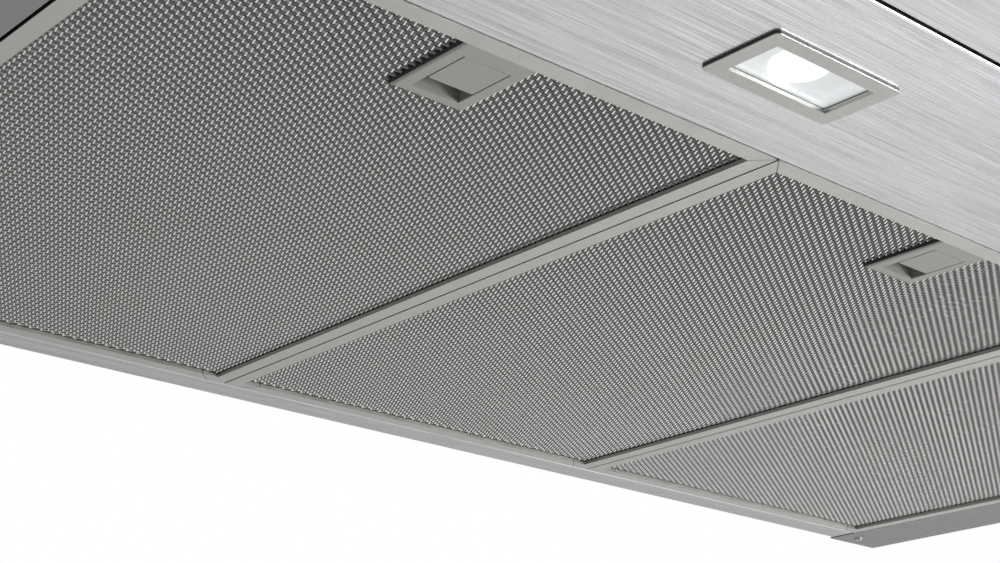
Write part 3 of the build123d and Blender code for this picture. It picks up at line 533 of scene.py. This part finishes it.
# Filter latches
# A housing and a sliding key moulded in grey plastic with a fine texture. Two springs of steel
# wire push the key forward, and a steel leaf in it rests on the lamp panel's ledge.
latch_color = (0.36, 0.36, 0.335)
latch_roughness = 0.5
latch_grid = 2500
latch_depth = 0.00001
wall_depth = 0.0006
wire_merge = 0.00001


def outer_walls(low, high, depth, start, inner_start):
    """A mask of a box's outer side faces from one height up, and of all else from another."""
    group, _, result = shader_group("outer_walls", [], [("Mask", "NodeSocketFloat")])
    point = object_place(group)
    middle, half = (low + high) / 2, (high - low) / 2
    from_x = math_node(group, "ABSOLUTE", math_node(group, "SUBTRACT", point["X"], middle.x))
    from_y = math_node(group, "ABSOLUTE", math_node(group, "SUBTRACT", point["Y"], middle.y))
    at_x = math_node(group, "GREATER_THAN", from_x, half.x - depth)
    at_y = math_node(group, "GREATER_THAN", from_y, half.y - depth)
    at_side = math_node(group, "MAXIMUM", at_x, at_y)
    above = math_node(group, "GREATER_THAN", point["Z"], start)
    beyond = math_node(group, "GREATER_THAN", point["Z"], inner_start)
    group.links.new(math_node(group, "MAXIMUM", math_node(group, "MULTIPLY", at_side, above), beyond),
                    result.inputs["Mask"])
    return group


latch_plastic = moulded("latch_plastic", latch_color, latch_roughness, latch_grid, latch_depth)
spring_steel = grained("spring_steel", color=(0.5, 0.5, 0.5), roughness=0.3, grid=(100, 100, 2000),
                       contrast=0.1, depth=0.000005)
for name in filter_names:
    low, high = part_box(f"latch_housing_{name}")
    housing = moulded(f"latch_housing_plastic_{name}", latch_color, latch_roughness, latch_grid, latch_depth)
    # The housing's outer side walls are painted nearly black: painted shade.
    darken(housing, outer_walls(low, high, wall_depth, low.z + wall_depth, high.z), painted_shadow_color)
    dress(f"latch_housing_{name}", housing)
    dress(f"latch_key_{name}", latch_plastic)
    dress(f"latch_tongue_{name}", spring_steel)

# Return springs
# Two coils of steel wire in each latch, which shorten as its key slides back. Their rear end
# stays in the housing.
for name in filter_names:
    low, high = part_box(f"latch_springs_{name}")
    wire = bmesh.new()
    wire.from_mesh(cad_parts[f"latch_springs_{name}"].data)
    bmesh.ops.remove_doubles(wire, verts=wire.verts[:], dist=wire_merge)
    springs = new_piece(f"return_springs_{name}", wire, spring_steel, f"{name}_filter")
    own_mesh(springs)
    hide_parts(f"latch_springs_{name}")

# Lamps
# A satin bezel pressed through the panel, its outer walls and lip painted near black as painted
# shade, a flat lens behind its lip and a lit board above it in a tin box. The light source glows as
# a round spot in the middle of its white tray, and the tray glows around it as painted light.
bezel_color = (0.56, 0.56, 0.54)
bezel_edge_shade = (0.07, 0.07, 0.068)
edge_start = 0.0004
lip_start = 0.0016
emitter_radius = 0.012
glow_edge = 0.003
glow_strength = 1.3
tray_painted_light = (0.40, 0.415, 0.42)


def round_spot(tree, middle, radius, edge):
    """A mask of a round spot with a soft edge, the same on the left and on the right."""
    point = object_place(tree)
    aside = math_node(tree, "SUBTRACT", math_node(tree, "ABSOLUTE", point["X"]), middle.x)
    along = math_node(tree, "SUBTRACT", point["Y"], middle.y)
    squares = math_node(tree, "ADD", math_node(tree, "MULTIPLY", aside, aside),
                        math_node(tree, "MULTIPLY", along, along))
    fade = tree.nodes.new("ShaderNodeMapRange")
    fade.inputs["From Min"].default_value = radius
    fade.inputs["From Max"].default_value = radius - edge
    tree.links.new(math_node(tree, "SQRT", squares), fade.inputs["Value"])
    return fade.outputs["Result"]


lamp_tin = grained("lamp_tin", color=(0.55, 0.55, 0.54), roughness=0.4, grid=(200, 200, 200),
                   contrast=0.06, depth=0.00001)
lens_glass, _, lens_shader = plain_material("lens_glass", color=(0.97, 0.98, 0.98), metallic=0.0,
                                            roughness=0.08)
lens_shader.inputs["Transmission Weight"].default_value = 1.0
lens_shader.inputs["IOR"].default_value = 1.45
board_light, board_tree, board_shader = plain_material("board_light", color=(0.4, 0.4, 0.4),
                                                       metallic=0.0, roughness=0.6)
board_shader.inputs["Emission Strength"].default_value = glow_strength
lens_low, lens_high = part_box("lamp_lens_right")
# The tray around the spot glows too: painted light from the spot.
glow = board_tree.nodes.new("ShaderNodeMix")
glow.data_type = "RGBA"
glow.inputs["A"].default_value = (*tray_painted_light, 1)
glow.inputs["B"].default_value = (1, 1, 1, 1)
board_tree.links.new(round_spot(board_tree, (lens_low + lens_high) / 2, emitter_radius, glow_edge),
                     glow.inputs["Factor"])
board_tree.links.new(glow.outputs["Result"], board_shader.inputs["Emission Color"])
for name in ("left", "right"):
    low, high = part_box(f"lamp_bezel_{name}")
    material = grained(f"bezel_metal_{name}", bezel_color, roughness=0.45, grid=(400, 400, 400),
                       contrast=0.02, depth=0.000004)
    # The bezel's outer walls and inner lip are painted near black: painted shade.
    darken(material, outer_walls(low, high, wall_depth, low.z + edge_start, low.z + lip_start), bezel_edge_shade)
    dress(f"lamp_bezel_{name}", material)
    dress(f"lamp_housing_{name}", lamp_tin)
    dress(f"lamp_lens_{name}", lens_glass)
    dress(f"led_board_{name}", board_light)

# Push buttons
# Five turned keys in polished rings on the fascia, with a moulded carrier and a board behind.
# The electronics box and the cable gland are moulded in the same dark plastic as the carrier.
button_metal = grained("button_metal", color=(0.62, 0.62, 0.62), roughness=0.3, grid=(1500, 1500, 1500),
                       contrast=0.05, depth=0.000005)
ring_chrome = grained("ring_chrome", color=(0.8, 0.8, 0.8), roughness=0.12, grid=(300, 300, 300),
                      contrast=0.02, depth=0.000002)
dark_plastic = moulded("dark_plastic", color=(0.035, 0.035, 0.038), roughness=0.5, grid=1500, depth=0.00002)
board_green = moulded("board_green", color=(0.03, 0.12, 0.06), roughness=0.35, grid=800, depth=0.00001)
for name in ("light", "off", "low", "medium", "high"):
    dress(f"button_{name}", button_metal)
dress("button_rings", ring_chrome)
dress("control_board", board_green)
for name in ("button_carrier", "electronics_box", "cable_gland"):
    dress(name, dark_plastic)

# Blower
# Zinc-coated side plates, rail and brackets, a moulded scroll in two halves with its wheel, a
# painted motor, and the moulded outlet with its flaps. The shaft, the flap pin and the screws of
# the whole hood are plain steel.
zinc_steel = grained("zinc_steel", color=(0.50, 0.52, 0.53), roughness=0.45, grid=(40, 40, 40),
                     contrast=0.12, depth=0.00001)
motor_paint = moulded("motor_paint", color=(0.10, 0.105, 0.11), roughness=0.45, grid=900, depth=0.00002)
pin_steel = grained("pin_steel", color=(0.55, 0.55, 0.55), roughness=0.3, grid=(400, 400, 400),
                    contrast=0.06, depth=0.000005)
for name in ("side_plate_left", "side_plate_right", "hanging_rail", "ceiling_bracket", "motor_bracket"):
    dress(name, zinc_steel)
for name in ("scroll_left", "scroll_right", "outlet_adapter", "flap_left", "flap_right", "impeller"):
    dress(name, dark_plastic)
dress("motor", motor_paint)
for name in ("motor_shaft", "flap_pin", "screws"):
    dress(name, pin_steel)
